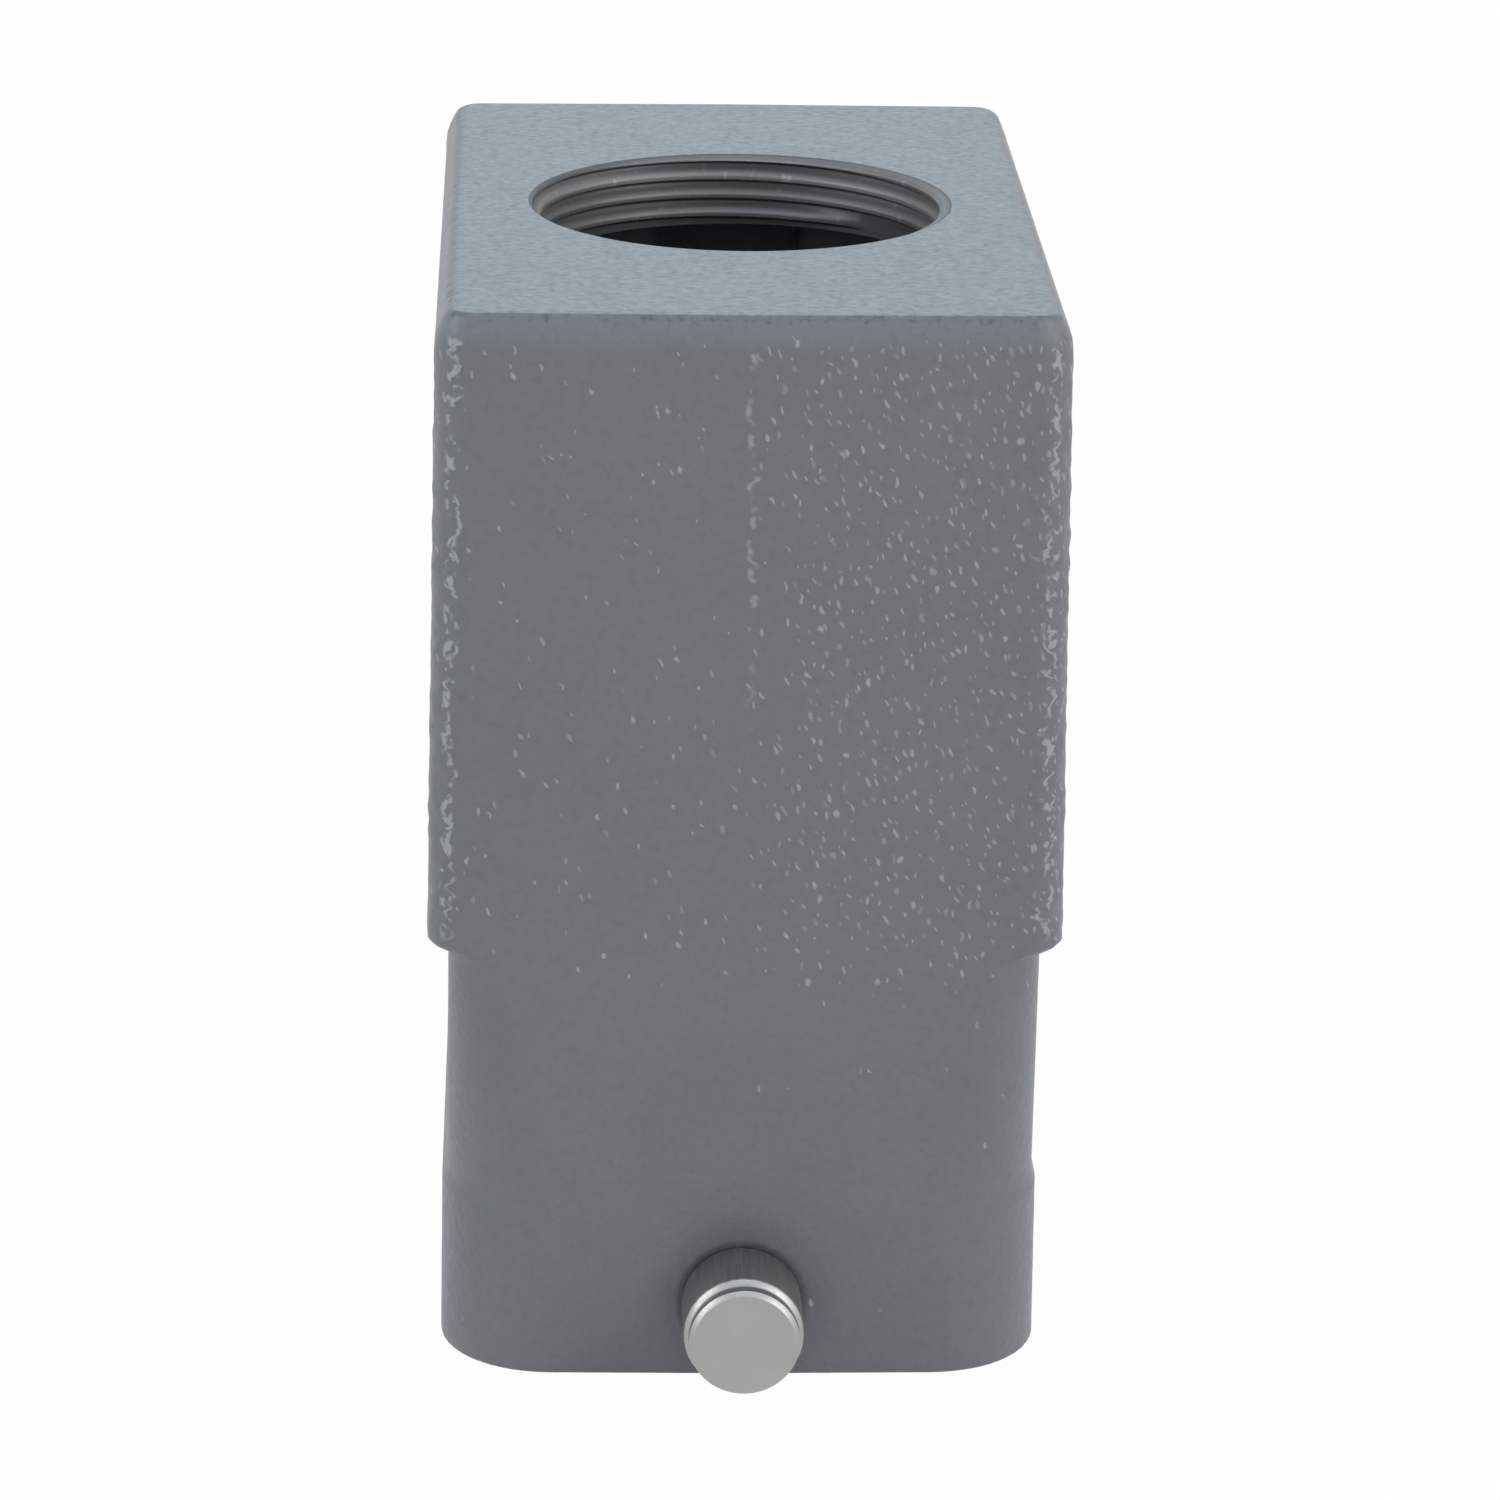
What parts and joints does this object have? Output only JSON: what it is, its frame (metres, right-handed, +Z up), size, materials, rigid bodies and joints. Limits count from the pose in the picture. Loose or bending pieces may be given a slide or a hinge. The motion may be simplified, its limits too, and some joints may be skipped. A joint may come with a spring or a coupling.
{
  "type": "heavy duty rectangular connector",
  "caption": "Tall rectangular top-entry connector hood for single-lever locking, with locking pegs at its ends, a threaded cable entry on top and a screw-terminal pin insert inside.",
  "frame": {"origin": "centre of the open rim that the hood stands on", "axes": "+Z up along the cable entry, out of the top; the length runs along Y, with the front locking peg at -Y; the width runs along X"},
  "size_m": [0.0472, 0.0888, 0.0822],
  "materials": {
    "powder_coated_casting": "powder coat with a fine hammered texture",
    "stainless_steel": "brushed",
    "zinc_plated_steel": "bright plated",
    "silver_plated_contact": "silver plated",
    "moulded_plastic": "fine moulded texture"
  },
  "bodies": {
    "hood_and_insert": {"hood": "powder_coated_casting", "insert_body": "moulded_plastic", "peg_front": "stainless_steel", "peg_rear": "stainless_steel", "terminal_screws": "zinc_plated_steel", "earth_plate_front": "zinc_plated_steel", "earth_plate_rear": "zinc_plated_steel", "earth_washer_front": "zinc_plated_steel", "earth_washer_rear": "zinc_plated_steel", "earth_screws": "zinc_plated_steel", "fixing_screws": "zinc_plated_steel", "wire_guard_01": "zinc_plated_steel", "wire_guard_02": "zinc_plated_steel", "wire_guard_03": "zinc_plated_steel", "wire_guard_04": "zinc_plated_steel", "wire_guard_05": "zinc_plated_steel", "wire_guard_06": "zinc_plated_steel", "wire_guard_07": "zinc_plated_steel", "wire_guard_08": "zinc_plated_steel", "wire_guard_09": "zinc_plated_steel", "wire_guard_10": "zinc_plated_steel", "contact_01": "silver_plated_contact", "contact_02": "silver_plated_contact", "contact_03": "silver_plated_contact", "contact_04": "silver_plated_contact", "contact_05": "silver_plated_contact", "contact_06": "silver_plated_contact", "contact_07": "silver_plated_contact", "contact_08": "silver_plated_contact", "contact_09": "silver_plated_contact", "contact_10": "silver_plated_contact"},
    "roller_front": {"roller_front": "stainless_steel"},
    "roller_rear": {"roller_rear": "stainless_steel"}
  },
  "joints": [
    {"name": "roller_front_spin", "type": "hinge", "parent": "hood_and_insert", "child": "roller_front", "pos_m": [0, -0.0396, 0.006], "axis": [0, -1, 0], "continuous": true},
    {"name": "roller_rear_spin", "type": "hinge", "parent": "hood_and_insert", "child": "roller_rear", "pos_m": [0, 0.0396, 0.006], "axis": [0, 1, 0], "continuous": true}
  ]
}
